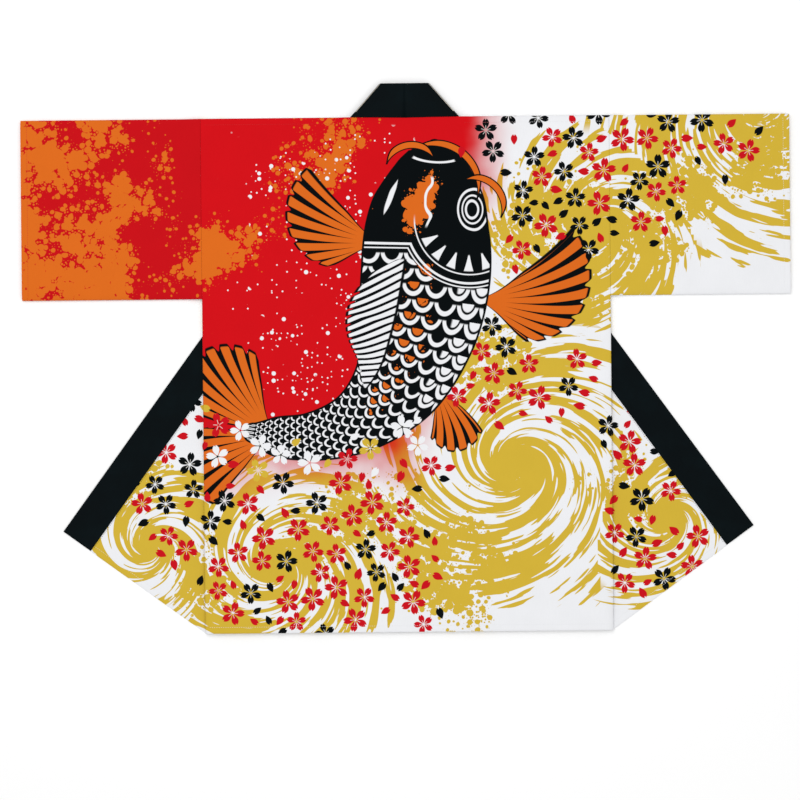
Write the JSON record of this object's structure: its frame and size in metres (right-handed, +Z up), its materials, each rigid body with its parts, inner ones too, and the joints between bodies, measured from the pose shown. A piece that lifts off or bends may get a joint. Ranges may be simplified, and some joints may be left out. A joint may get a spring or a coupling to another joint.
{
  "type": "happi coat",
  "caption": "Short festival happi coat laid flat with its back up, sleeves straight out and the lower fronts turned back on a diagonal; sleeves and fronts fold.",
  "frame": {"origin": "on the floor, under the centre of the coat's outline", "axes": "+X to the right sleeve, +Y from the hem to the neck, +Z up out of the back panel's outer face"},
  "size_m": [1.195, 0.852, 0.0105],
  "materials": {
    "printed_cotton": "plain-weave cotton, printed on its outer face",
    "black_cotton": "matt black cotton sateen, doubled",
    "interlining": "stiff unbleached cotton",
    "red_thread": "polyester sewing thread",
    "black_thread": "polyester sewing thread"
  },
  "bodies": {
    "torso": {"back_panel": "printed_cotton", "collar_neck": "black_cotton", "collar_neck_interlining": "interlining", "back_hem_stitching": "red_thread", "neck_stitching": "black_thread", "left_front_panel": "printed_cotton", "left_shoulder_stitching": "red_thread", "left_armhole_stitching": "red_thread", "left_side_stitching": "red_thread", "right_front_panel": "printed_cotton", "right_shoulder_stitching": "red_thread", "right_armhole_stitching": "red_thread", "right_side_stitching": "red_thread"},
    "left_sleeve": {"left_sleeve_back": "printed_cotton", "left_sleeve_front": "printed_cotton", "left_cuff_stitching": "red_thread", "left_underarm_stitching": "red_thread"},
    "left_front": {"left_front_turnback": "printed_cotton", "left_collar_band": "black_cotton", "left_band_interlining": "interlining", "left_front_hem_stitching": "red_thread", "left_band_stitching": "black_thread"},
    "right_sleeve": {"right_sleeve_back": "printed_cotton", "right_sleeve_front": "printed_cotton", "right_cuff_stitching": "red_thread", "right_underarm_stitching": "red_thread"},
    "right_front": {"right_front_turnback": "printed_cotton", "right_collar_band": "black_cotton", "right_band_interlining": "interlining", "right_front_hem_stitching": "red_thread", "right_band_stitching": "black_thread"}
  },
  "joints": [
    {"name": "left_sleeve_fold", "type": "hinge", "parent": "torso", "child": "left_sleeve", "pos_m": [-0.3175, 0.234, 0.0103], "axis": [0, 1, 0], "range_deg": [0, 179]},
    {"name": "right_sleeve_fold", "type": "hinge", "parent": "torso", "child": "right_sleeve", "pos_m": [0.3175, 0.234, 0.0103], "axis": [0, -1, 0], "range_deg": [0, 179]},
    {"name": "left_front_fold", "type": "hinge", "parent": "torso", "child": "left_front", "pos_m": [-0.3175, -0.426, 0.00225], "axis": [-0.3091, -0.951, 0], "range_deg": [0, 179]},
    {"name": "right_front_fold", "type": "hinge", "parent": "torso", "child": "right_front", "pos_m": [0.3175, -0.426, 0.00225], "axis": [-0.3091, 0.951, 0], "range_deg": [0, 179]}
  ]
}
